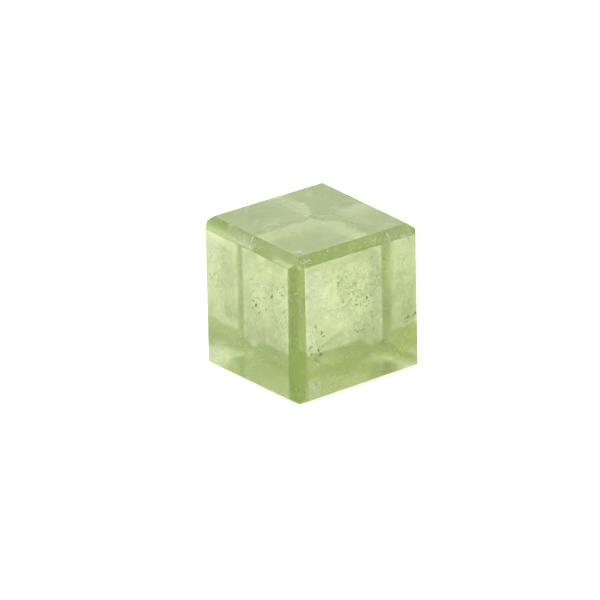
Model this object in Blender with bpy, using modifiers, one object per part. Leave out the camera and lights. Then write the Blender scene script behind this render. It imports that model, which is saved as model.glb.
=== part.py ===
"""Polished peridot cube, about 20 mm on a side, every edge ground to a flat chamfer.

The block was sawn, then each edge was held to the wheel by hand, so no two
chamfers are alike: some run parallel to their edge, some taper along it, and
the one on the far upright is the widest.  It is one piece of stone, so it is
one object.

Frame: +Z up, origin at the middle of the footprint, on the surface it rests on.
Left is -X, right is +X, front is -Y, back is +Y.  Lengths are in metres.
"""

import bmesh
import bpy
from mathutils import Vector

MM = 0.001

# The block before its edges were ground
WIDTH = 20.0 * MM  # left to right
DEPTH = 19.9 * MM  # front to back
HEIGHT = 19.9 * MM  # base to top

# Chamfers: edge name -> the two faces that meet there, then three insets in
# millimetres.  The first two are on the first face, at the low and the high
# end of the edge, and the third is on the second face, halfway along it.
CHAMFERS = {
    "top_left": ("left", "top", 1.35, 1.35, 1.50),
    "top_front": ("front", "top", 1.25, 1.25, 1.15),
    "top_right": ("right", "top", 1.30, 1.30, 1.45),
    "top_back": ("back", "top", 1.30, 1.30, 1.30),
    "upright_front_left": ("left", "front", 1.70, 1.45, 1.55),
    "upright_front_right": ("right", "front", 1.40, 1.40, 0.97),
    "upright_back_left": ("left", "back", 1.30, 1.30, 1.50),
    "upright_back_right": ("right", "back", 2.50, 2.50, 2.50),
    "base_left": ("left", "base", 0.80, 0.35, 0.90),
    "base_front": ("front", "base", 0.60, 0.90, 1.45),
    "base_right": ("right", "base", 1.30, 1.30, 2.00),
    "base_back": ("back", "base", 1.60, 1.45, 1.90),
}

# The wheel leaves the edges crisp but not razor sharp
EDGE_ROUND = 0.05 * MM
EDGE_SEGMENTS = 2

# Each face: the axis it is square to, and the side of the block it is on
FACES = {
    "left": (0, -1),
    "right": (0, 1),
    "front": (1, -1),
    "back": (1, 1),
    "base": (2, -1),
    "top": (2, 1),
}

LOW_CORNER = Vector((-WIDTH / 2, -DEPTH / 2, 0.0))
HIGH_CORNER = Vector((WIDTH / 2, DEPTH / 2, HEIGHT))
CENTRE = (LOW_CORNER + HIGH_CORNER) / 2


def face_place(axis, side):
    """Coordinate of the block's face on this axis."""
    return HIGH_CORNER[axis] if side > 0 else LOW_CORNER[axis]


def point_beside_edge(on_face, other_face, along_axis, along, inset):
    """Point on on_face, inset from the edge it shares with other_face."""
    on_axis, on_side = FACES[on_face]
    other_axis, other_side = FACES[other_face]
    point = Vector((0.0, 0.0, 0.0))
    point[along_axis] = along
    point[on_axis] = face_place(on_axis, on_side)
    point[other_axis] = face_place(other_axis, other_side) - other_side * inset
    return point


def chamfer_plane(first, second, low_inset, high_inset, second_inset):
    """Point and outward normal of the plane through the chamfer's three insets."""
    along_axis = 3 - FACES[first][0] - FACES[second][0]
    low, high = LOW_CORNER[along_axis], HIGH_CORNER[along_axis]
    low_point = point_beside_edge(first, second, along_axis, low, low_inset * MM)
    high_point = point_beside_edge(first, second, along_axis, high, high_inset * MM)
    middle = (low + high) / 2
    second_point = point_beside_edge(second, first, along_axis, middle, second_inset * MM)
    normal = (high_point - low_point).cross(second_point - low_point).normalized()
    if normal.dot(low_point - CENTRE) < 0:
        normal.negate()
    return low_point, normal


def grind(mesh, point, normal):
    """Takes off what lies outside the plane and closes the stone over it."""
    everything = mesh.verts[:] + mesh.edges[:] + mesh.faces[:]
    cut = bmesh.ops.bisect_plane(
        mesh, geom=everything, plane_co=point, plane_no=normal, clear_outer=True
    )
    rim = [part for part in cut["geom_cut"] if isinstance(part, bmesh.types.BMEdge)]
    bmesh.ops.contextual_create(mesh, geom=rim)


def sawn_block(mesh):
    """The plain block, centred over the origin and standing on it."""
    corners = bmesh.ops.create_cube(mesh, size=1.0)["verts"]
    bmesh.ops.scale(mesh, vec=(WIDTH, DEPTH, HEIGHT), verts=corners)
    bmesh.ops.translate(mesh, vec=CENTRE, verts=corners)


def stone_material():
    """Clear yellow-green stone with a polish."""
    material = bpy.data.materials.new("peridot")
    material.use_nodes = True
    shader = material.node_tree.nodes["Principled BSDF"]
    shader.inputs["Base Color"].default_value = (0.60, 0.72, 0.34, 1.0)
    shader.inputs["Metallic"].default_value = 0.0
    shader.inputs["Roughness"].default_value = 0.05
    shader.inputs["IOR"].default_value = 1.66
    shader.inputs["Transmission Weight"].default_value = 0.9
    return material


def peridot_cube(collection):
    """The finished stone: the sawn block with its edges ground and eased."""
    mesh = bmesh.new()
    sawn_block(mesh)
    for chamfer in CHAMFERS.values():
        grind(mesh, *chamfer_plane(*chamfer))
    bmesh.ops.recalc_face_normals(mesh, faces=mesh.faces[:])

    data = bpy.data.meshes.new("peridot_cube")
    mesh.to_mesh(data)
    mesh.free()
    data.materials.append(stone_material())

    stone = bpy.data.objects.new("peridot_cube", data)
    collection.objects.link(stone)
    eased = stone.modifiers.new("eased_edges", "BEVEL")
    eased.width = EDGE_ROUND
    eased.segments = EDGE_SEGMENTS
    eased.limit_method = "ANGLE"
    return stone


def clear_scene():
    for old in list(bpy.data.objects):
        bpy.data.objects.remove(old, do_unlink=True)


def main():
    clear_scene()
    collection = bpy.data.collections.new("peridot")
    bpy.context.scene.collection.children.link(collection)
    peridot_cube(collection)


main()
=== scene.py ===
# Polished peridot cube: camera, white card and light, then the stone's surface and what is sealed in it.
import math

import bpy
import numpy as np
from mathutils import Matrix, Vector


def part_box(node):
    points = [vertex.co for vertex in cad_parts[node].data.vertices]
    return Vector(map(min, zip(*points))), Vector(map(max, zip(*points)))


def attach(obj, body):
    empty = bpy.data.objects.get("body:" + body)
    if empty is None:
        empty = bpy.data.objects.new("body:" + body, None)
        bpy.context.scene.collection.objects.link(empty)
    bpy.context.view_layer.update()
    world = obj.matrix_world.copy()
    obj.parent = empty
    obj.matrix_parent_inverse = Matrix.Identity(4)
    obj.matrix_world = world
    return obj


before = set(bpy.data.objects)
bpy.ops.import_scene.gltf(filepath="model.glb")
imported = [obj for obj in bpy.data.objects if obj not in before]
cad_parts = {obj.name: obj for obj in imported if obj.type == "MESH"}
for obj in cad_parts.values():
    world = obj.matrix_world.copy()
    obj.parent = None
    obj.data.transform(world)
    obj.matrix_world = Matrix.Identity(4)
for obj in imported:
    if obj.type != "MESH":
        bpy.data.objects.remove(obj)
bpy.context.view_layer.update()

mm = 0.001  # lengths below are in millimetres
print("frame loaded")

camera = {
    "azimuth": -36.83,  # degrees round the stone, 0 in front of it
    "elevation": 23.05,  # degrees above the card
    "roll": -1.19,
    "distance": 957.0,
    "aimHeight": 10.29,
    "lens": 455.8,  # on a 36 mm sensor
    "shift": (-0.0192, -0.0172),  # shares of the frame
}


def cameraAxes():
    # right, up and back, from azimuth and elevation, then rolled
    az, el = math.radians(camera["azimuth"]), math.radians(camera["elevation"])
    back = Vector((math.sin(az) * math.cos(el), -math.cos(az) * math.cos(el), math.sin(el)))
    level = Vector((math.cos(az), math.sin(az), 0.0))
    upright = back.cross(level)
    turn = math.radians(camera["roll"])
    right = math.cos(turn) * level + math.sin(turn) * upright
    up = math.cos(turn) * upright - math.sin(turn) * level
    return right, up, back


def cameraPlace():
    return Vector((0, 0, camera["aimHeight"] * mm)) + cameraAxes()[2] * camera["distance"] * mm


def makeCamera():
    data = bpy.data.cameras.new("camera")
    data.sensor_width = 36.0
    data.lens = camera["lens"]
    data.shift_x, data.shift_y = camera["shift"]
    data.clip_start, data.clip_end = 0.01, 20.0
    obj = bpy.data.objects.new("camera", data)
    bpy.context.scene.collection.objects.link(obj)
    obj.matrix_world = Matrix.Translation(cameraPlace()) @ Matrix(cameraAxes()).transposed().to_4x4()
    bpy.context.scene.camera = obj


studio = {
    "sky": [(0.0, 0.82), (0.30, 0.95), (0.55, 1.36), (1.0, 1.42)],  # height, 1 overhead, and brightness
    "cardSize": 3000.0,
    "cardColour": (0.50, 0.50, 0.50),
    "cardGlow": 0.72,  # the card lights up a little from below
}


def makeSky():
    # brightness depends only on the height above the card, and eases from place to place in the list
    world = bpy.data.worlds.new("studio")
    bpy.context.scene.world = world
    world.use_nodes = True
    nodes, links = world.node_tree.nodes, world.node_tree.links
    place = nodes.new("ShaderNodeTexCoord")
    split = nodes.new("ShaderNodeSeparateXYZ")
    links.new(place.outputs["Generated"], split.inputs[0])
    ramp = nodes.new("ShaderNodeValToRGB")
    ramp.color_ramp.interpolation = "EASE"
    brightest = max(value for height, value in studio["sky"])
    stops = ramp.color_ramp.elements
    for height, value in studio["sky"][1:-1]:
        stops.new(height)
    for stop, (height, value) in zip(stops, studio["sky"]):
        stop.position = height
        stop.color = (*[value / brightest] * 3, 1)
    links.new(split.outputs["Z"], ramp.inputs["Fac"])
    links.new(ramp.outputs["Color"], nodes["Background"].inputs["Color"])
    nodes["Background"].inputs["Strength"].default_value = brightest


def makeCard():
    half, level = studio["cardSize"] * mm / 2, -0.02 * mm  # just clear of the stone's base
    corners = [(-half, -half, level), (half, -half, level), (half, half, level), (-half, half, level)]
    data = bpy.data.meshes.new("card")
    data.from_pydata(corners, [], [(0, 1, 2, 3)])
    card = bpy.data.objects.new("card", data)
    bpy.context.scene.collection.objects.link(card)
    paper = bpy.data.materials.new("white_card")
    paper.use_nodes = True
    shader = paper.node_tree.nodes["Principled BSDF"]
    shader.inputs["Base Color"].default_value = (*studio["cardColour"], 1)
    shader.inputs["Roughness"].default_value = 0.9
    shader.inputs["Specular IOR Level"].default_value = 0.0
    shader.inputs["Emission Color"].default_value = (1, 1, 1, 1)
    shader.inputs["Emission Strength"].default_value = studio["cardGlow"]
    data.materials.append(paper)


def setRendering():
    scene = bpy.context.scene
    scene.view_settings.view_transform = "Standard"
    scene.cycles.use_adaptive_sampling = False
    scene.cycles.max_bounces = 40
    scene.cycles.transmission_bounces = 40
    scene.cycles.glossy_bounces = 40
    scene.cycles.diffuse_bounces = 8
    scene.cycles.transparent_max_bounces = 64


makeCamera()
makeSky()
makeCard()
setRendering()
print("camera, card and light made")


stone = {
    "node": "peridot_cube",
    "ior": 1.66,
    "base": (1.0, 1.0, 1.0),
    "roughness": 0.13,
    "absorbColour": (0.765, 0.845, 0.40),
    "absorbDensity": 60.0,  # per metre
}

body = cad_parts[stone["node"]]
low, high = [np.array(corner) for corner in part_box(stone["node"])]
centre, width = (low + high) / 2, (high - low).max()

faces = {  # the side it faces, and the axes that give a place on it: across, up, and the one left over
    "left": ((-1, 0, 0), (1, 2, 0)),
    "front": ((0, -1, 0), (0, 2, 1)),
    "top": ((0, 0, 1), (0, 1, 2)),
    "topLeft": ((-1, 0, 1), (1, 2, 0)),
    "topFront": ((0, -1, 1), (0, 2, 1)),
    "upright": ((-1, -1, 0), (0, 2, 1)),
    "base": ((0, 0, -1), (0, 1, 2)),
    "baseRight": ((1, 0, -1), (1, 2, 0)),
    "baseBack": ((0, 1, -1), (0, 2, 1)),
    "farUpright": ((1, 1, 0), (0, 2, 1)),
}


def stoneFlats():
    # outward normal and distance from the origin of each flat of the stone that isn't an eased edge
    mesh = body.data
    area = np.array([face.area for face in mesh.polygons])
    normals = np.array([face.normal for face in mesh.polygons])[area > 1e-7]
    places = np.array([face.center for face in mesh.polygons])[area > 1e-7]
    return normals, (normals * places).sum(1)


flatNormals, flatPlaces = stoneFlats()


def depthInside(points):
    # distance to the nearest flat, less than 0 outside the stone
    return (flatPlaces - points @ flatNormals.T).min(1)


def onFace(face, spots):
    # spots are (across, up); the third coordinate is where the flat's plane is
    side, (across, up, rest) = faces[face]
    flat = (flatNormals @ (np.array(side) / np.linalg.norm(side))).argmax()
    normal, spots = flatNormals[flat], np.atleast_2d(spots) * mm
    points = np.empty((len(spots), 3))
    points[:, across], points[:, up] = spots.T
    points[:, rest] = (flatPlaces[flat] - spots @ normal[[across, up]]) / normal[rest]
    return points, normal


def beneath(face, spots, depths):
    # the sight line through each spot, bent as it enters the stone, then followed for its depth
    points, side = onFace(face, spots)
    sight = points - np.array(cameraPlace())
    sight /= np.linalg.norm(sight, axis=1, keepdims=True)
    if sight[0] @ side > 0:  # a face that looks away: straight in instead
        return points - side * np.reshape(depths, (-1, 1)) * mm
    slant = -(sight @ side)[:, None]
    bent = sight / stone["ior"]
    bent += (slant / stone["ior"] - np.sqrt(1 - (1 - slant**2) / stone["ior"] ** 2)) * side
    return points + bent * np.reshape(depths, (-1, 1)) * mm


def stoneMaterial():
    material = bpy.data.materials.new("peridot")
    material.use_nodes = True
    nodes, links = material.node_tree.nodes, material.node_tree.links
    shader = nodes["Principled BSDF"]
    shader.inputs["Base Color"].default_value = (*stone["base"], 1)
    shader.inputs["Roughness"].default_value = stone["roughness"]
    shader.inputs["IOR"].default_value = stone["ior"]
    shader.inputs["Transmission Weight"].default_value = 1.0
    absorb = nodes.new("ShaderNodeVolumeAbsorption")
    absorb.inputs["Color"].default_value = (*stone["absorbColour"], 1)
    absorb.inputs["Density"].default_value = stone["absorbDensity"]
    links.new(absorb.outputs[0], nodes["Material Output"].inputs["Volume"])
    return material


body.data.materials.clear()
body.data.materials.append(stoneMaterial())
print("stone finished")


def gridFaces(rows, columns):
    number = np.arange(rows * columns).reshape(rows, columns)
    return np.stack([number[:-1, :-1], number[1:, :-1], number[1:, 1:], number[:-1, 1:]], -1).reshape(-1, 4)


def makePiece(name, parts, material, smooth=True, margin=None):
    # joins the parts; with a margin, drops what comes nearer than that to the stone's surface
    sides = parts[0]["faces"].shape[1]
    points, corners, start = [], [], 0
    for part in parts:
        kept = part["faces"]
        if margin is not None:
            kept = kept[(depthInside(part["points"]) > margin * mm)[kept].all(1)]
        points.append(part["points"])
        corners.append(kept + start)
        start += len(part["points"])
    used, corners = np.unique(np.concatenate(corners), return_inverse=True)
    points = np.concatenate(points)[used]
    data = bpy.data.meshes.new(name)
    data.from_pydata(points.tolist(), [], corners.reshape(-1, sides).tolist())
    data.polygons.foreach_set("use_smooth", np.full(len(data.polygons), smooth))
    if "fade" in parts[0]:
        fade = np.concatenate([part["fade"] for part in parts])[used]
        data.attributes.new("fade", "FLOAT", "POINT").data.foreach_set("value", fade.astype(np.float32))
    data.materials.append(material)
    obj = bpy.data.objects.new(name, data)
    bpy.context.scene.collection.objects.link(obj)
    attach(obj, "root")
    print(name + ":", len(data.polygons), "faces")


def scatterMaterial(name, colour, through=0.5):
    # lit on both sides: some of the light comes back and some goes on through
    material = bpy.data.materials.new(name)
    material.use_nodes = True
    nodes, links = material.node_tree.nodes, material.node_tree.links
    nodes.remove(nodes["Principled BSDF"])
    back = nodes.new("ShaderNodeBsdfDiffuse")
    on = nodes.new("ShaderNodeBsdfTranslucent")
    back.inputs["Color"].default_value = on.inputs["Color"].default_value = (*colour, 1)
    mix = nodes.new("ShaderNodeMixShader")
    mix.inputs["Fac"].default_value = through
    links.new(back.outputs[0], mix.inputs[1])
    links.new(on.outputs[0], mix.inputs[2])
    links.new(mix.outputs[0], nodes["Material Output"].inputs["Surface"])
    return material, nodes, links, mix


veilNoise = {"roughness": 0.6, "low": 0.35, "high": 0.75}  # low and high give thin and thick


def veilMaterial(name, look):
    # see-through except for the piece's own fade times a soft noise between thin and thick
    material, nodes, links, scatter = scatterMaterial(name, look["colour"], look["through"])
    place = nodes.new("ShaderNodeTexCoord")
    noise = nodes.new("ShaderNodeTexNoise")
    noise.inputs["Scale"].default_value = 1 / (look["patch"] * mm)
    noise.inputs["Detail"].default_value = look["detail"]
    noise.inputs["Roughness"].default_value = veilNoise["roughness"]
    noise.inputs["Distortion"].default_value = look.get("swirl", 0.0)
    links.new(place.outputs["Object"], noise.inputs["Vector"])
    density = nodes.new("ShaderNodeMapRange")
    density.inputs["From Min"].default_value = veilNoise["low"]
    density.inputs["From Max"].default_value = veilNoise["high"]
    density.inputs["To Min"].default_value = look["thin"]
    density.inputs["To Max"].default_value = look["thick"]
    links.new(noise.outputs[0], density.inputs["Value"])
    fade = nodes.new("ShaderNodeAttribute")
    fade.attribute_name = "fade"
    opacity = nodes.new("ShaderNodeMath")
    opacity.operation = "MULTIPLY"
    opacity.use_clamp = True
    links.new(density.outputs[0], opacity.inputs[0])
    links.new(fade.outputs["Fac"], opacity.inputs[1])
    see = nodes.new("ShaderNodeMixShader")
    links.new(opacity.outputs[0], see.inputs["Fac"])
    links.new(nodes.new("ShaderNodeBsdfTransparent").outputs[0], see.inputs[1])
    links.new(scatter.outputs[0], see.inputs[2])
    links.new(see.outputs[0], nodes["Material Output"].inputs["Surface"])
    return material


clouds = {  # milky sheets right through the stone
    "seed": 11,
    "perFamily": 5,  # sheets across each of the three axes
    "reach": 0.75,  # half width of a sheet, in stone widths
    "tilt": 0.28,
    "apart": 0.95,  # spacing, as a share of what would fill the stone evenly
    "uneven": 0.03,  # in stone widths, like the swell and the ripple
    "swell": 0.04,
    "ripple": 0.015,
    "points": 49,  # along each side of a sheet
    "opacity": 0.065,
    "thin": 0.35,
    "thick": 2.4,
    "patch": 2.9,
    "detail": 3.0,
    "colour": (0.84, 0.96, 0.42),
    "through": 0.5,  # share of the scattered light that goes on through
}


def makeClouds():
    # each sheet is a square across the stone, with two sine swells on it, that fades out near the surface
    rng = np.random.default_rng(clouds["seed"])
    side = np.linspace(-clouds["reach"], clouds["reach"], clouds["points"])
    u, v = np.meshgrid(side, side, indexing="ij")
    parts = []
    for family in range(3):
        for step in (np.arange(clouds["perFamily"]) + 0.5) / clouds["perFamily"] - 0.5:
            normal = np.eye(3)[family] + rng.normal(size=3) * clouds["tilt"]
            normal /= np.linalg.norm(normal)
            wayU = np.cross(normal, np.eye(3)[(family + 1) % 3])
            wayU /= np.linalg.norm(wayU)
            wayV = np.cross(normal, wayU)
            phase, pace = rng.uniform(0, 2 * math.pi, 4), rng.uniform(2, 6, 2)
            swell = clouds["swell"] * np.sin(pace[0] * u + phase[0]) * np.sin(pace[1] * v + phase[1])
            ripple = clouds["ripple"] * np.sin(9 * u + phase[2]) * np.sin(8 * v + phase[3])
            away = step * clouds["apart"] + rng.normal() * clouds["uneven"] + swell + ripple
            points = centre + width * (u[..., None] * wayU + v[..., None] * wayV + away[..., None] * normal)
            points = points.reshape(-1, 3)
            fade = clouds["opacity"] * np.clip(depthInside(points) / mm, 0, 1)
            parts.append({"points": points, "faces": gridFaces(len(side), len(side)), "fade": fade})
    makePiece("clouds", parts, veilMaterial("cloud", clouds), margin=0.05)


# A patch, in every piece from here to the seams: face, outline as (across, up) spots, depth, opacity and
# the width of its soft edge.  Thin and thick are what a soft noise, patch across, multiplies the opacity by.
wispsAndPaintedLight = {  # pale hazy patches; the one over the whole top face is a painted reflection, and two are painted light, on the top face and above the base
    "colour": (0.98, 0.97, 0.88),
    "through": 0.35,
    "thin": 0.3,
    "thick": 1.8,
    "patch": 2.2,
    "detail": 3.0,
    "patches": [
        # painted reflection: whitens the whole top face as a reflection would
        ("top", [(-8.4, -8.6), (8.4, -8.6), (8.4, 8.4), (-8.4, 8.4)], 0.3, 0.20, 1.0),
        ("topLeft", [(-0.6, 19.7), (-8.8, 19.8), (-8.8, 18.7), (-0.6, 18.7)], 0.12, 0.20, 0.3),
        ("topLeft", [(5.0, 19.7), (-0.2, 19.7), (-0.6, 18.8), (5.0, 18.8)], 0.12, 0.24, 0.4),
        ("topLeft", [(0.50, 19.8), (0.28, 19.8), (-0.05, 19.2), (-0.50, 18.7), (-0.28, 18.7)],
         0.08, 0.80, 0.14),
        ("topFront", [(4.95, 19.8), (5.15, 19.8), (5.35, 19.2), (5.10, 18.7), (4.90, 18.7)],
         0.08, 0.70, 0.14),
        ("top", [(-8.0, -7.3), (-7.5, -7.0), (-7.1, -7.5), (-7.4, -7.9)], 0.05, 1.00, 0.12),
        ("topFront", [(5.4, 19.7), (8.6, 19.7), (8.6, 18.7), (5.2, 18.7)], 0.12, 0.26, 0.3),
        # painted highlight: lightens a diagonal band across the top face
        ("top", [(-5.7, 6.6), (-1.8, 7.0), (3.5, 7.2), (5.4, 3.2), (3.8, 3.2), (1.2, 6.2), (-3.8, 5.6)],
         0.5, 0.16, 1.4),
        ("top", [(-5.4, 2.6), (-2.6, 3.4), (-0.6, 2.0), (-1.8, -2.2), (-4.6, -0.8)], 0.4, 0.24, 1.6),
        ("front", [(-8.3, 17.9), (-4.6, 17.9), (-3.7, 15.4), (-2.9, 12.9), (-1.2, 10.9), (-2.4, 9.6),
                   (-8.3, 11.0)], 1.0, 0.30, 1.3),
        ("front", [(-8.3, 12.2), (-7.5, 11.8), (-6.4, 9.4), (-6.3, 7.8), (-7.0, 6.9), (-8.3, 6.9)],
         0.6, 0.34, 0.7),
        ("front", [(-8.3, 3.2), (-5.0, 2.7), (-5.0, 1.5), (-8.3, 1.4)], 0.5, 0.34, 0.6),
        ("front", [(-5.2, 3.5), (-2.8, 3.2), (-2.8, 2.2), (-5.2, 2.3)], 0.6, 0.26, 0.6),
        ("front", [(1.2, 3.4), (3.5, 3.0), (3.5, 1.9), (1.5, 2.0)], 0.6, 0.18, 0.6),
        ("front", [(5.3, 14.5), (7.2, 14.0), (6.9, 11.3), (5.6, 11.7)], 0.8, 0.14, 0.7),
        # painted light: lightens the top edge of the darker band above the base
        ("front", [(-7.5, 6.2), (2.0, 6.0), (2.0, 4.2), (-7.5, 4.2)], 0.6, 0.20, 1.6),
        ("front", [(-8.3, 17.0), (-5.4, 17.0), (-5.4, 12.0), (-8.3, 12.0)], 0.6, 0.14, 1.2),
        ("left", [(8.3, 18.0), (5.1, 18.3), (1.8, 17.6), (1.6, 14.0), (8.4, 13.0)], 0.7, 0.20, 1.2),
        ("left", [(8.4, 3.0), (6.6, 3.6), (4.2, 4.2), (4.3, 1.7), (6.2, 1.1), (8.4, 1.1)], 0.5, 0.30, 0.6),
        ("left", [(0.8, 17.4), (-8.2, 17.8), (-8.2, 6.5), (0.8, 6.5)], 1.2, 0.14, 1.6),
    ],
}

frost = {  # crackled, finely grained patches just under the chamfers
    "colour": (0.97, 0.99, 0.88),
    "through": 0.4,
    "thin": -0.5,
    "thick": 2.2,
    "patch": 0.40,
    "detail": 2.0,
    "swirl": 2.0,
    "patches": [
        ("topLeft", [(4.9, 19.7), (0.4, 19.6), (-0.3, 18.9), (4.4, 18.8)], 0.15, 0.42, 0.3),
        ("topFront", [(2.3, 19.7), (4.4, 19.6), (4.8, 18.8), (2.0, 18.9)], 0.15, 0.42, 0.3),
        ("topFront", [(-8.6, 19.3), (-6.9, 19.5), (-6.8, 19.0), (-8.2, 18.8)], 0.15, 0.40, 0.3),
    ],
}

baseShade = {  # painted shade: a film just inside the base, which dulls the light that comes up through it and darkens the lower part of the stone
    "colour": (0.64, 0.79, 0.10),
    "through": 0.6,
    "thin": 0.7,
    "thick": 1.35,
    "patch": 1.3,
    "detail": 3.0,
    "swirl": 0.3,
    "patches": [
        ("base", [(-11.0, -10.4), (7.0, -10.4), (7.0, 7.0), (-11.0, 7.0)], 0.12, 0.34, 4.0),
        ("base", [(-1.5, -1.5), (8.0, -1.5), (8.0, 8.0), (0.5, 8.0), (-1.5, 6.0)], 0.20, 0.26, 5.0),
        ("baseRight", [(-9.0, 0.05), (8.5, 0.05), (8.5, 1.25), (-9.0, 1.25)], 0.10, 0.40, 0.5),
        ("baseBack", [(0.3, 0.05), (8.5, 0.05), (8.5, 1.4), (0.3, 1.5)], 0.10, 0.12, 0.6),
    ],
}

greens = {  # painted shade: deeper olive patches that darken the stone under the chamfers, in the bands above the base and by the right-hand edge
    "colour": (0.42, 0.66, 0.02),
    "through": 0.5,
    "thin": 0.7,
    "thick": 1.3,
    "patch": 1.5,
    "detail": 2.0,
    "patches": [
        ("upright", [(-9.9, 0.6), (-8.4, 0.6), (-8.4, 18.6), (-9.9, 18.6)], 0.10, 0.44, 0.3),
        ("upright", [(-8.95, 0.6), (-8.4, 0.6), (-8.4, 18.6), (-8.95, 18.6)], 0.14, 0.28, 0.3),
        ("topFront", [(-8.6, 19.7), (-3.5, 19.7), (-3.5, 18.8), (-8.6, 18.8)], 0.10, 0.20, 0.5),
        ("front", [(4.9, 17.6), (9.2, 17.4), (9.2, 7.0), (5.2, 7.0)], 0.30, 0.20, 0.9),
        ("front", [(-1.6, 7.4), (3.4, 7.4), (3.4, 3.6), (-0.8, 3.8)], 0.35, 0.26, 1.8),
        ("front", [(1.5, 3.0), (9.2, 2.6), (9.2, 0.7), (1.5, 0.7)], 0.25, 0.20, 1.0),
        ("front", [(-6.0, 5.0), (0.0, 4.2), (0.0, 2.4), (-6.0, 3.2)], 0.25, 0.20, 1.2),
        ("left", [(4.2, 5.6), (-8.3, 5.6), (-8.3, 0.7), (4.2, 0.7)], 0.25, 0.12, 1.2),
        ("farUpright", [(7.7, 0.6), (9.8, 0.6), (9.8, 18.6), (7.7, 18.6)], 0.10, 0.16, 0.5),
    ],
}

shade = {  # painted shade: broad soft patches that dull the stone where it is less lit, the top face among them
    "colour": (0.26, 0.37, 0.09),
    "through": 0.5,
    "thin": 0.8,
    "thick": 1.2,
    "patch": 1.8,
    "detail": 2.0,
    "patches": [
        ("front", [(1.8, 17.8), (4.3, 17.8), (4.3, 5.0), (1.8, 5.0)], 0.4, 0.29, 1.4),
        ("front", [(6.4, 17.5), (9.4, 17.5), (9.4, 8.0), (6.4, 8.0)], 0.4, 0.08, 1.8),
        ("front", [(4.2, 12.6), (9.2, 12.6), (9.2, 6.5), (4.2, 6.5)], 0.6, 0.18, 2.2),
        ("front", [(1.5, 3.0), (6.0, 2.4), (6.0, 0.8), (1.5, 0.9)], 0.4, 0.25, 0.8),
        ("front", [(-8.3, 18.8), (8.8, 18.8), (8.8, 17.4), (-2.0, 17.4), (-8.3, 17.8)], 0.3, 0.24, 1.0),
        ("front", [(-6.0, 10.2), (1.8, 10.2), (1.8, 7.8), (-5.0, 7.6)], 0.5, 0.16, 2.4),
        ("front", [(-6.8, 8.2), (2.0, 8.2), (2.0, 6.2), (-6.8, 6.2)], 0.4, 0.22, 1.6),
        ("left", [(-0.2, 10.8), (-8.3, 10.8), (-8.3, 6.4), (-0.2, 6.4)], 0.5, 0.18, 2.6),
        ("left", [(0.4, 8.2), (-8.3, 8.2), (-8.3, 6.0), (0.4, 6.0)], 0.4, 0.22, 1.6),
        ("left", [(5.2, 17.5), (2.4, 17.5), (2.4, 8.0), (5.2, 8.0)], 0.4, 0.24, 1.6),
        ("left", [(1.2, 17.8), (-0.6, 17.8), (-0.6, 6.0), (1.2, 6.0)], 0.4, 0.22, 1.2),
        ("left", [(0.8, 18.8), (-7.5, 18.8), (-7.5, 17.4), (0.8, 17.4)], 0.3, 0.20, 1.0),
        ("upright", [(-9.9, 9.5), (-8.4, 9.5), (-8.4, 18.6), (-9.9, 18.6)], 0.08, 0.16, 3.0),
        ("top", [(-8.4, -8.6), (8.4, -8.6), (8.4, 8.4), (-8.4, 8.4)], 0.35, 0.16, 1.0),
    ],
}

mottle = {  # olive blotches half a millimetre across, where the fine grains crowd together
    "colour": (0.46, 0.56, 0.20),
    "through": 0.6,
    "thin": -0.25,
    "thick": 2.2,
    "patch": 0.50,
    "detail": 3.0,
    "patches": [
        ("front", [(-4.3, 17.7), (4.4, 17.4), (4.4, 5.4), (-4.4, 5.2), (-3.0, 8.6), (-1.6, 10.8),
                   (-3.0, 13.2)], 0.8, 0.16, 1.0),
        ("front", [(-3.9, 16.6), (2.4, 16.6), (2.4, 11.5), (-1.2, 11.0), (-2.8, 13.0)], 2.0, 0.10, 1.0),
        ("front", [(4.9, 17.0), (8.4, 16.8), (8.4, 5.0), (5.4, 5.0)], 0.8, 0.22, 1.0),
        ("left", [(-0.6, 17.0), (-6.4, 17.4), (-6.4, 5.5), (-0.6, 6.0)], 1.0, 0.14, 1.2),
        ("left", [(8.3, 17.3), (2.0, 17.0), (2.0, 6.2), (8.3, 6.0)], 1.0, 0.20, 1.0),
        ("top", [(-8.2, 6.0), (-2.0, 7.5), (4.0, 6.5), (3.4, 0.5), (-1.0, 4.0), (-6.0, 4.4)],
         0.6, 0.14, 1.0),
    ],
}

stainsAndPaintedLight = {  # iron-yellow and olive patches; two are painted light and shade: a lighter strip on the upright chamfer and a yellowed band above the base
    "colour": (0.90, 0.90, 0.15),
    "through": 0.6,
    "thin": 0.8,
    "thick": 1.3,
    "patch": 1.6,
    "detail": 2.0,
    "patches": [
        ("front", [(7.0, 7.0), (9.2, 7.2), (9.2, 4.2), (8.4, 3.2), (6.4, 2.9), (6.9, 5.0)], 0.35, 0.44, 1.6),
        ("front", [(7.6, 5.9), (8.9, 6.3), (9.0, 4.6), (7.9, 4.2)], 0.5, 0.45, 0.8),
        ("front", [(-8.3, 4.6), (-6.6, 4.3), (-6.2, 3.4), (-8.3, 3.3)], 0.4, 0.42, 0.8),
        # painted shade: yellows the darker band above the base
        ("front", [(-6.4, 4.6), (9.0, 3.6), (9.0, 0.8), (-6.4, 0.8)], 0.25, 0.15, 1.2),
        ("left", [(-1.3, 16.4), (-2.3, 17.3), (-3.6, 17.4), (-3.2, 15.8), (-1.7, 15.4)], 0.9, 0.16, 0.8),
        ("left", [(-2.6, 9.8), (-3.8, 9.6), (-3.8, 8.3), (-3.0, 7.0)], 0.9, 0.20, 0.6),
        ("left", [(5.0, 9.2), (3.9, 9.2), (4.1, 8.2), (5.0, 8.0)], 0.9, 0.24, 0.6),
        # painted highlight: lightens the lighter strip of the upright chamfer
        ("upright", [(-8.95, 0.6), (-8.4, 0.6), (-8.4, 18.4), (-8.95, 18.4)], 0.08, 0.26, 0.3),
    ],
}


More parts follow.
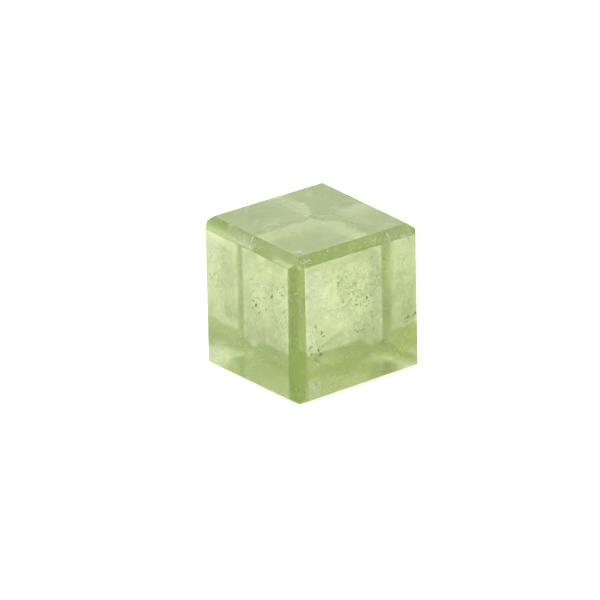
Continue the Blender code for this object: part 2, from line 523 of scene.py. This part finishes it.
def softMask(spots, outline, soft):
    # 1 well inside the outline and 0 outside it, from each spot's distance to the nearest side
    ends = np.array(outline, float)
    starts, along = ends, np.roll(ends, -1, 0) - ends
    away = spots[:, None] - starts
    share = np.clip((away * along).sum(2) / (along**2).sum(1), 0, 1)
    distance = np.linalg.norm(away - share[..., None] * along, axis=2).min(1)
    spans = (starts[:, 1] > spots[:, 1:]) != ((starts + along)[:, 1] > spots[:, 1:])
    rise = np.where(along[:, 1] == 0, 1e-9, along[:, 1])
    crossing = starts[:, 0] + (spots[:, 1:] - starts[:, 1]) / rise * along[:, 0]
    inside = (spans & (spots[:, :1] < crossing)).sum(1) % 2 == 1
    share = np.clip(0.5 + np.where(inside, distance, -distance) / soft, 0, 1)
    return share**2 * (3 - 2 * share)


patchGrid = {"step": 0.25, "least": 8, "most": 70}  # millimetres between points, and how many on a side


def makeVeils(name, look, seed):
    # each patch is a grid over its outline, laid under the face at its depth plus a sine swell
    rng = np.random.default_rng(seed)
    parts = []
    for face, outline, depth, opacity, soft in look["patches"]:
        ends = np.array(outline)
        least, most = ends.min(0) - soft / 2, ends.max(0) + soft / 2
        count = ((most - least) / patchGrid["step"]).astype(int)
        count = np.clip(count, patchGrid["least"], patchGrid["most"])
        a, b = np.meshgrid(*[np.linspace(least[k], most[k], count[k]) for k in (0, 1)], indexing="ij")
        spots = np.stack([a, b], -1).reshape(-1, 2)
        phase = rng.uniform(0, 6, 2)
        swell = 0.25 * depth * np.sin(1.3 * spots[:, 0] + phase[0]) * np.sin(1.1 * spots[:, 1] + phase[1])
        fade = opacity * softMask(spots, outline, soft)
        points = beneath(face, spots, depth + swell)
        parts.append({"points": points, "faces": gridFaces(*count), "fade": fade})
    makePiece(name, parts, veilMaterial(name, look), margin=0.02)


seams = {  # healed cracks: thin where they meet the surface, then leaning away and fading into the stone
    "colour": (0.96, 0.99, 0.86),
    "through": 0.4,
    "thin": 0.4,
    "thick": 1.6,
    "patch": 0.9,
    "detail": 3.0,
    "step": 0.12,  # between points along a path
    "rows": 12,  # points down into the stone
    "bell": 13,  # points that the path is smoothed over
    "taper": 0.8,  # length over which an end fades
    "fall": 3.5,
    "paths": [  # face, spots along it, depth reached, lean on the face, opacity
        ("top", [(-4.6, 6.4), (-1.6, 6.9), (-1.0, 6.0), (0.1, 4.3), (0.9, 2.4), (1.3, 0.3), (3.2, -0.9),
                 (3.9, -4.0), (4.7, -6.0), (5.7, -6.9), (5.5, -8.5)], 3.0, (0.9, 0.5), 0.85),
        ("topFront", [(5.0, 19.8), (5.2, 19.3), (4.9, 18.7)], 1.0, (-0.5, 0.0), 0.60),
        ("top", [(-0.5, -6.2), (0.3, -6.6), (1.3, -6.8)], 0.5, (0.0, 0.35), 0.75),
        ("topLeft", [(0.4, 19.8), (0.0, 19.5), (-0.5, 18.8)], 0.8, (0.5, 0.0), 0.70),
        ("left", [(2.2, 13.4), (2.0, 12.7), (1.4, 12.1), (1.6, 11.4), (2.3, 10.4)], 0.8, (0.3, 0.0), 0.50),
        ("front", [(3.7, 8.6), (3.8, 9.5), (4.0, 10.2), (4.5, 10.5), (4.9, 10.1), (5.2, 9.0)],
         0.5, (0.2, -0.2), 0.95),
        ("front", [(4.1, 8.8), (4.2, 9.4), (4.5, 9.8), (4.8, 9.5), (4.9, 8.8)], 0.4, (0.1, -0.2), 0.80),
        ("front", [(6.9, 7.4), (7.4, 7.6), (7.9, 7.6), (8.4, 7.4)], 0.4, (0.0, -0.3), 0.60),
        ("front", [(5.9, 13.8), (6.4, 12.6), (6.2, 11.2)], 0.6, (0.3, 0.0), 0.25),
        ("left", [(7.9, 17.8), (5.4, 17.2), (3.2, 15.8), (1.8, 14.0)], 1.0, (0.0, -0.8), 0.50),
        ("left", [(8.2, 16.2), (6.2, 15.4), (4.4, 13.8)], 1.0, (0.0, -0.8), 0.40),
    ],
}


def makeSeams():
    # a curtain: along the smoothed path by down into the stone, its fade falling as e to the minus fall
    # times the share of the way down
    parts = []
    for face, spots, reach, lean, opacity in seams["paths"]:
        spots = np.array(spots)
        length = np.r_[0, np.linalg.norm(np.diff(spots, axis=0), axis=1).cumsum()]
        count = max(24, int(length[-1] / seams["step"]))
        along = np.linspace(0, length[-1], count)
        path = np.stack([np.interp(along, length, spots[:, k]) for k in (0, 1)], -1)
        bell = np.hanning(seams["bell"])[1:-1] / np.hanning(seams["bell"]).sum()
        extra = len(bell) // 2
        padded = np.concatenate([np.repeat(path[:1], extra, 0), path, np.repeat(path[-1:], extra, 0)])
        path = np.stack([np.convolve(padded[:, k], bell, "valid") for k in (0, 1)], -1)
        down = np.linspace(0, 1, seams["rows"]) ** 1.5
        across = path[:, None] + down[None, :, None] * np.array(lean)
        points, side = onFace(face, across.reshape(-1, 2))
        points -= (0.04 + np.tile(down, count) * reach)[:, None] * mm * side
        taper = np.clip(np.minimum(along, along[-1] - along) / seams["taper"], 0.15, 1)
        fade = opacity * (taper[:, None] * np.exp(-seams["fall"] * down)).ravel()
        parts.append({"points": points, "faces": gridFaces(count, seams["rows"]), "fade": fade})
    makePiece("seams", parts, veilMaterial("seam", seams), margin=0.01)


grains = {  # dark, brown and black grains: face, across, up, length, turn in degrees
    "seed": 3,
    "depth": (0.3, 1.4),
    "around": 12,  # points round a grain and along it
    "along": 9,
    "dark": {"colour": (0.44, 0.55, 0.18), "places": [
        ("left", -7.5, 15.8, 0.37, 20), ("left", -7.4, 14.6, 0.44, 0), ("left", -3.8, 11.5, 0.37, 70),
        ("left", -3.4, 13.0, 0.40, 30), ("left", -5.1, 13.8, 0.66, 120), ("left", -5.2, 14.9, 0.29, 60),
        ("left", -1.0, 14.8, 0.29, 10), ("left", -3.0, 17.5, 0.26, 80), ("left", -7.6, 12.5, 0.37, 60),
        ("left", -7.2, 12.2, 0.25, 20), ("left", -7.9, 11.9, 0.29, 100), ("left", 7.0, 12.9, 0.37, 80),
        ("left", 6.7, 11.3, 0.26, 30), ("left", 5.6, 11.0, 0.25, 60), ("left", -6.2, 13.3, 0.22, 45),
        ("front", -6.9, 10.4, 0.51, 110), ("front", -6.0, 9.4, 0.44, 130), ("front", -5.7, 8.8, 0.37, 20),
        ("front", -7.8, 7.8, 0.37, 30), ("front", -6.5, 7.1, 0.48, 120), ("front", -7.6, 6.9, 0.37, 10),
        ("front", -6.3, 6.5, 0.36, 60), ("front", -7.1, 6.0, 0.33, 120), ("front", 1.2, 12.2, 0.48, 100),
        ("front", 3.1, 14.0, 0.33, 40), ("front", 0.6, 8.0, 0.33, 0), ("front", -0.3, 7.9, 0.37, 120),
        ("front", -3.3, 15.0, 0.33, 60), ("front", -0.6, 14.6, 0.31, 20), ("front", -2.6, 12.6, 0.37, 110),
        ("front", -0.4, 11.6, 0.29, 30), ("front", 0.5, 12.8, 0.26, 80), ("front", -8.0, 14.9, 0.25, 70),
    ]},
    "brown": {"colour": (0.44, 0.42, 0.10), "places": [
        ("left", -1.7, 11.5, 0.65, 150), ("left", -1.2, 11.9, 0.40, 40), ("left", -1.0, 10.9, 0.30, 70),
        ("front", 7.55, 7.78, 0.46, 30), ("front", 7.1, 7.62, 0.34, 60),
    ]},
    "black": {"colour": (0.03, 0.035, 0.02), "places": [
        ("front", 8.72, 7.96, 0.46, 30), ("front", 8.40, 7.72, 0.26, 10),
    ]},
}


def lumps(places, depths, rng):
    # a ball squeezed to half as thick as long, its radius waved by sines of both angles
    around, along = grains["around"], grains["along"]
    turns = np.linspace(0, 2 * math.pi, around + 1)[:-1]
    turn, tilt = np.meshgrid(turns, np.linspace(0, math.pi, along), indexing="ij")
    parts = []
    for (face, across, up, length, angle), depth in zip(places, depths):
        middle = beneath(face, [(across, up)], [depth])
        origin, side = onFace(face, [(0, 0)])
        wayUp = onFace(face, [(0, 1)])[0] - origin
        wayUp = wayUp[0] / np.linalg.norm(wayUp)
        wayAcross = (onFace(face, [(1, 0)])[0] - origin)[0]
        wayAcross /= np.linalg.norm(wayAcross)
        angle = math.radians(angle)
        longWay = math.cos(angle) * wayAcross + math.sin(angle) * wayUp
        wideWay = -math.sin(angle) * wayAcross + math.cos(angle) * wayUp
        phase = rng.uniform(0, 6, 4)
        radius = 1 + 0.18 * np.sin(2 * turn + phase[0]) * np.sin(2 * tilt + phase[1])
        radius += 0.12 * np.sin(3 * turn + phase[2]) * np.sin(3 * tilt + phase[3]) * np.sin(tilt)
        radius *= length * mm / 2
        radius[:, 0], radius[:, -1] = radius[:, 0].mean(), radius[:, -1].mean()
        shape = [np.cos(tilt), 0.55 * np.sin(tilt) * np.cos(turn), 0.5 * np.sin(tilt) * np.sin(turn)]
        points = sum((radius * s)[..., None] * way for s, way in zip(shape, (longWay, wideWay, side)))
        rows = np.arange(around * along).reshape(around, along)
        rows[:, 0], rows[:, -1] = rows[0, 0], rows[0, -1]
        nextRows = np.roll(rows, -1, 0)
        quads = np.stack([rows[:, :-1], rows[:, 1:], nextRows[:, 1:], nextRows[:, :-1]], -1).reshape(-1, 4)
        first = np.stack([quads[:, 0], quads[:, 1], quads[:, 2]], -1)
        second = np.stack([quads[:, 0], quads[:, 2], quads[:, 3]], -1)
        corners = np.concatenate([first, second])
        corners = corners[(corners != np.roll(corners, 1, axis=1)).all(1)]
        if np.cross(longWay, wideWay) @ side < 0:  # the three ways are left-handed on this face
            corners = corners[:, ::-1]
        parts.append({"points": middle + points.reshape(-1, 3), "faces": corners})
    return parts


def makeGrains():
    rng = np.random.default_rng(grains["seed"])
    for kind in ("dark", "brown", "black"):
        places = grains[kind]["places"]
        depths = rng.uniform(*grains["depth"], len(places))
        material = scatterMaterial(kind + "_grain", grains[kind]["colour"])[0]
        makePiece(kind + "_grains", lumps(places, depths, rng), material)


dust = {  # fine dark peppering: face, outline, number of specks, depth range
    "seed": 7,
    "size": (0.14, 0.36),
    "colour": (0.52, 0.65, 0.24),
    "zones": [
        ("front", [(-4.4, 17.8), (2.2, 17.5), (2.9, 11.3), (2.4, 7.4), (-0.8, 7.6), (-1.2, 9.6),
                   (-2.6, 12.2), (-3.6, 14.6)], 380, (0.2, 4.0)),
        ("front", [(-4.0, 15.6), (-0.8, 15.0), (0.4, 12.6), (-0.6, 11.0), (-2.4, 12.6)], 100, (0.2, 2.5)),
        ("front", [(-8.2, 17.0), (-6.6, 17.2), (-6.6, 12.6), (-8.2, 12.4)], 40, (0.2, 2.0)),
        ("front", [(-8.2, 7.9), (-5.6, 9.6), (-4.4, 8.0), (-6.4, 5.6), (-8.2, 5.6)], 110, (0.2, 2.0)),
        ("front", [(-8.3, 17.8), (8.4, 17.2), (8.4, 1.5), (-8.3, 1.5)], 420, (0.3, 6.0)),
        ("left", [(-4.0, 15.4), (-8.2, 16.6), (-8.2, 7.6), (-4.6, 7.8)], 340, (0.2, 3.0)),
        ("left", [(-0.4, 12.8), (-2.8, 12.8), (-2.8, 10.0), (-0.4, 10.0)], 90, (0.3, 2.0)),
        ("left", [(8.3, 17.5), (0.0, 17.5), (-8.2, 17.5), (-8.2, 2.0), (8.3, 2.0)], 420, (0.3, 6.0)),
        ("top", [(-8.3, -8.3), (8.3, -8.3), (8.3, 8.3), (-8.3, 8.3)], 160, (0.3, 7.0)),
    ],
}

sparks = {  # pale specks among them
    "seed": 8,
    "size": (0.10, 0.30),
    "colour": (0.97, 0.99, 0.88),
    "zones": [
        ("front", [(3.6, 16.4), (4.2, 16.4), (4.9, 12.8), (4.2, 12.8)], 16, (0.1, 0.6)),
        ("front", [(-8.3, 17.8), (8.4, 17.2), (8.4, 1.5), (-8.3, 1.5)], 160, (0.3, 5.0)),
        ("left", [(8.3, 17.5), (-8.2, 17.5), (-8.2, 2.0), (8.3, 2.0)], 160, (0.3, 5.0)),
        ("top", [(-8.3, -8.3), (8.3, -8.3), (8.3, 8.3), (-8.3, 8.3)], 160, (0.1, 4.0)),
        ("topFront", [(-8.0, 19.6), (8.0, 19.6), (8.0, 18.9), (-8.0, 18.9)], 36, (0.1, 0.5)),
        ("topLeft", [(8.0, 19.6), (-8.0, 19.6), (-8.0, 18.9), (8.0, 18.9)], 26, (0.1, 0.5)),
        ("upright", [(-9.6, 1.0), (-9.2, 1.0), (-9.2, 18.4), (-9.6, 18.4)], 12, (0.1, 0.8)),
    ],
}


def makeSpecks(name, look):
    # spots spread evenly over the fan of triangles from each outline's first corner and along its
    # depths, with a thin eight-sided grain on each
    rng = np.random.default_rng(look["seed"])
    middles = []
    for face, outline, count, depths in look["zones"]:
        ends = np.array(outline)
        wings = np.stack([ends[1:-1] - ends[0], ends[2:] - ends[0]], 1)
        area = np.abs(np.linalg.det(wings))
        chosen = wings[rng.choice(len(wings), count, p=area / area.sum())]
        share = rng.random((count, 2))
        share = np.where(share.sum(1, keepdims=True) > 1, 1 - share, share)
        spots = ends[0] + (share[..., None] * chosen).sum(1)
        middles.append(beneath(face, spots, rng.uniform(*depths, count)))
    middles = np.concatenate(middles)
    middles = middles[depthInside(middles) > look["size"][1] * mm]
    ways = np.linalg.qr(rng.normal(size=(len(middles), 3, 3)))[0]
    size = look["size"][0] + (look["size"][1] - look["size"][0]) * rng.random((len(middles), 1)) ** 3
    reach = size * np.array([0.5, 0.32, 0.18]) * mm
    arms = ways * reach[..., None]
    points = np.concatenate([middles[:, None] + arms, middles[:, None] - arms], 1).reshape(-1, 3)
    upper = [(0, 1, 2), (1, 3, 2), (3, 4, 2), (4, 0, 2)]
    lower = [(1, 0, 5), (3, 1, 5), (4, 3, 5), (0, 4, 5)]
    eight = np.array(upper + lower)
    turned = np.linalg.det(ways) < 0
    corners = np.where(turned[:, None, None], eight[:, ::-1], eight)
    corners = corners + 6 * np.arange(len(middles))[:, None, None]
    material = scatterMaterial(name, look["colour"])[0]
    makePiece(name, [{"points": points, "faces": corners.reshape(-1, 3)}], material, smooth=False)


bruises = {  # small white breaks at the surface: face, across, up, spread, number of shards, size
    "seed": 21,
    "colour": (0.98, 0.99, 0.95),
    "places": [
        ("top", -7.6, -7.5, 0.42, 34, 0.50), ("top", -7.3, -8.3, 0.24, 10, 0.30),
        ("topFront", -8.4, 19.2, 0.30, 14, 0.32), ("topFront", -7.9, 19.3, 0.30, 14, 0.32),
        ("topFront", -7.2, 19.3, 0.25, 10, 0.30), ("topFront", -8.1, 18.9, 0.2, 6, 0.26),
        ("topFront", 6.9, 18.8, 0.22, 12, 0.30), ("topFront", 7.4, 18.8, 0.22, 14, 0.32),
        ("front", 7.9, 18.3, 0.20, 8, 0.28), ("topLeft", 5.1, 19.7, 0.30, 12, 0.32),
        ("top", -4.7, -8.4, 0.15, 2, 0.2), ("topFront", -4.8, 19.4, 0.2, 3, 0.18),
        ("topFront", -4.1, 19.6, 0.2, 3, 0.18), ("top", -2.1, -7.3, 0.3, 3, 0.18),
        ("top", 1.1, -8.5, 0.2, 2, 0.2), ("left", 0.2, 1.0, 0.30, 4, 0.22),
        ("front", 5.6, 2.75, 0.25, 6, 0.30), ("top", -1.0, 6.9, 0.3, 4, 0.22),
        ("top", -4.5, 6.9, 0.4, 4, 0.18), ("top", 7.4, 4.2, 0.3, 3, 0.2),
        ("top", 8.2, 0.5, 0.3, 3, 0.2), ("upright", -9.4, 17.7, 0.12, 2, 0.22),
        ("upright", -9.3, 15.2, 0.10, 2, 0.18),
    ],
}


def makeBruises():
    # each shard is a four-cornered sliver of random lengths, nearly flat under the face
    rng = np.random.default_rng(bruises["seed"])
    parts = []
    for face, across, up, spread, count, size in bruises["places"]:
        spots = np.array([across, up]) + rng.normal(size=(count, 2)) * spread / 2
        middles, side = onFace(face, spots)
        middles -= side * rng.uniform(0.03, 0.10, (count, 1)) * mm
        ways = rng.normal(size=(count, 2, 3))
        ways -= 0.92 * (ways @ side)[..., None] * side
        ways /= np.linalg.norm(ways, axis=2, keepdims=True)
        reach = size * mm / 2 * rng.uniform(0.25, 1.0, (count, 4, 1))
        corners = [ways[:, 0], ways[:, 1], -ways[:, 0], -ways[:, 1]]
        points = np.stack([middles + reach[:, k] * corners[k] for k in range(4)], 1).reshape(-1, 3)
        parts.append({"points": points, "faces": np.arange(4 * count).reshape(-1, 4)})
    makePiece("bruises", parts, scatterMaterial("bruise", bruises["colour"])[0], smooth=False, margin=0.0)


makeClouds()
makeVeils("wispsAndPaintedLight", wispsAndPaintedLight, 31)
makeVeils("frost", frost, 32)
makeVeils("baseShade", baseShade, 34)
makeVeils("mottle", mottle, 36)
makeVeils("greens", greens, 35)
makeVeils("shade", shade, 37)
makeVeils("stainsAndPaintedLight", stainsAndPaintedLight, 33)
makeSeams()
makeGrains()
makeSpecks("dust", dust)
makeSpecks("sparks", sparks)
makeBruises()
